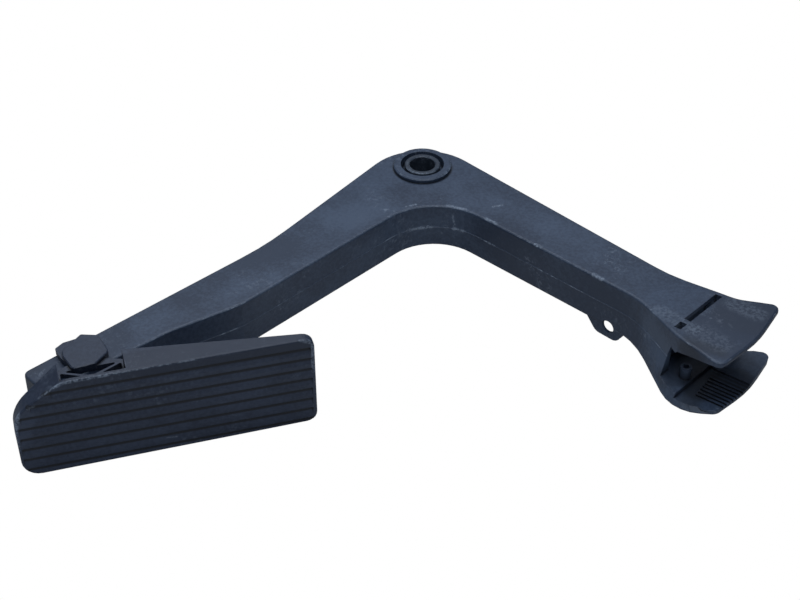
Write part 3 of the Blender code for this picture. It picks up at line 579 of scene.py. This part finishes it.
def spring_points():
    """The wire's middle line, in the hinge's frame turned to the pad: leg, coil and foot."""
    tangent = math.atan2(FOOT.y, FOOT.x) + math.acos(COIL_RADIUS / FOOT.length)
    start = LEG_ANGLE + math.pi / 2
    turn = (tangent - start) % (2 * math.pi) + 2 * math.pi * COIL_TURNS
    steps = STEPS_PER_TURN * (COIL_TURNS + 1)
    leg_x = COIL_RADIUS * math.cos(start) + LEG_LENGTH * math.cos(LEG_ANGLE)
    leg_y = COIL_RADIUS * math.sin(start) + LEG_LENGTH * math.sin(LEG_ANGLE)
    points = [(leg_x, leg_y, -COIL_HALF)]
    for step in range(steps + 1):
        angle = start + turn * step / steps
        height = COIL_HALF * (2 * step / steps - 1)
        points.append((COIL_RADIUS * math.cos(angle), COIL_RADIUS * math.sin(angle), height))
    points.append((FOOT.x, FOOT.y, COIL_HALF))
    return points


def wire_mesh(points):
    """A round wire through the points, as a mesh."""
    curve = bpy.data.curves.new("spring_wire", "CURVE")
    curve.dimensions = "3D"
    curve.bevel_depth = WIRE_RADIUS
    curve.bevel_resolution = 4
    curve.use_fill_caps = True
    spline = curve.splines.new("POLY")
    spline.points.add(len(points) - 1)
    for point, place in zip(spline.points, points):
        point.co = (*place, 1.0)
    path = bpy.data.objects.new("spring_path", curve)
    mesh = bpy.data.meshes.new_from_object(path)
    mesh.name = "spring_wire"
    bpy.data.objects.remove(path)
    for polygon in mesh.polygons:
        polygon.use_smooth = True
    return mesh


def make_spring(tree):
    mesh = wire_mesh(spring_points())
    mesh.transform(Matrix.Translation(HINGE) @ Matrix.Rotation(PAD_ANGLE, 4, "Z"))
    mesh.materials.append(tree.material)
    spring = bpy.data.objects.new("spring_wire", mesh)
    bpy.context.scene.collection.objects.link(spring)
    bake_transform(spring)
    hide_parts("pad_spring")


make_spring(wire_steel)


# Stage: a floor and a world that are white to the camera, and two soft lights

WHITE = (1.0, 1.0, 1.0, 1.0)
FLOOR_GREY = (0.50, 0.50, 0.50, 1.0)
FLOOR_HALF = 3.0
FLOOR_HEIGHT = -0.0005
FILL_LIGHT = 0.07
TOP_LIGHT = 6.6
TOP_PLACE = (-0.10, 0.30, 0.85)
TOP_SIZE = (0.9, 0.7)
FRONT_LIGHT = 3.6
FRONT_PLACE = (0.10, -0.60, 0.78)
FRONT_SIZE = (0.5, 0.3)
LIGHT_TINT = (0.82, 0.895, 1.0)
LIGHT_AIM = (0.0, 0.0, 0.02)


def white_to_camera(nodes, links, kind, lit, surface):
    """Joins the lit shader to a surface that the camera alone sees as plain white."""
    white = nodes.new(kind)
    white.inputs["Color"].default_value = WHITE
    white.inputs["Strength"].default_value = 1.0
    path = nodes.new("ShaderNodeLightPath")
    mix = nodes.new("ShaderNodeMixShader")
    links.new(path.outputs["Is Camera Ray"], mix.inputs[0])
    links.new(lit.outputs[0], mix.inputs[1])
    links.new(white.outputs[0], mix.inputs[2])
    links.new(mix.outputs[0], surface)


def make_floor():
    bm = bmesh.new()
    bmesh.ops.create_grid(bm, x_segments=1, y_segments=1, size=FLOOR_HALF)
    mesh = bpy.data.meshes.new("floor")
    bm.to_mesh(mesh)
    bm.free()
    floor = bpy.data.objects.new("floor", mesh)
    bpy.context.scene.collection.objects.link(floor)
    floor.location.z = FLOOR_HEIGHT
    tree = Tree("floor_white")
    tree.shader.inputs["Base Color"].default_value = FLOOR_GREY
    tree.shader.inputs["Roughness"].default_value = 1.0
    tree.shader.inputs["Specular IOR Level"].default_value = 0.0
    surface = tree.nodes["Material Output"].inputs["Surface"]
    white_to_camera(tree.nodes, tree.links, "ShaderNodeEmission", tree.shader, surface)
    mesh.materials.append(tree.material)


def make_world():
    world = bpy.data.worlds.new("studio")
    bpy.context.scene.world = world
    world.use_nodes = True
    nodes = world.node_tree.nodes
    links = world.node_tree.links
    nodes.clear()
    output = nodes.new("ShaderNodeOutputWorld")
    fill = nodes.new("ShaderNodeBackground")
    fill.inputs["Color"].default_value = (*LIGHT_TINT, 1.0)
    fill.inputs["Strength"].default_value = FILL_LIGHT
    white_to_camera(nodes, links, "ShaderNodeBackground", fill, output.inputs["Surface"])


def area_light(name, place, size, power):
    data = bpy.data.lights.new(name, "AREA")
    data.shape = "RECTANGLE"
    data.size, data.size_y = size
    data.energy = power
    data.color = LIGHT_TINT
    light = bpy.data.objects.new(name, data)
    bpy.context.scene.collection.objects.link(light)
    light.location = place
    light.rotation_euler = (Vector(LIGHT_AIM) - Vector(place)).to_track_quat("-Z", "Y").to_euler()


make_floor()
make_world()
area_light("top", TOP_PLACE, TOP_SIZE, TOP_LIGHT)
area_light("front", FRONT_PLACE, FRONT_SIZE, FRONT_LIGHT)


# Camera at the photograph's viewing angle

CAMERA_TARGET = PIVOT + Vector((-0.0105, -0.0846, 0.0))
CAMERA_DISTANCE = 0.6555
CAMERA_ELEVATION = math.radians(39.0)
CAMERA_LENS = 68.4
CAMERA_SENSOR = 36.0
CAMERA_CLIP = (0.01, 20.0)


def make_camera():
    data = bpy.data.cameras.new("camera")
    data.sensor_width = CAMERA_SENSOR
    data.lens = CAMERA_LENS
    data.clip_start, data.clip_end = CAMERA_CLIP
    camera = bpy.data.objects.new("camera", data)
    bpy.context.scene.collection.objects.link(camera)
    back = Vector((0.0, -math.cos(CAMERA_ELEVATION), math.sin(CAMERA_ELEVATION)))
    camera.location = CAMERA_TARGET + back * CAMERA_DISTANCE
    camera.rotation_euler = (math.pi / 2 - CAMERA_ELEVATION, 0.0, 0.0)
    bpy.context.scene.camera = camera


make_camera()

scene = bpy.context.scene
scene.view_settings.view_transform = "Standard"
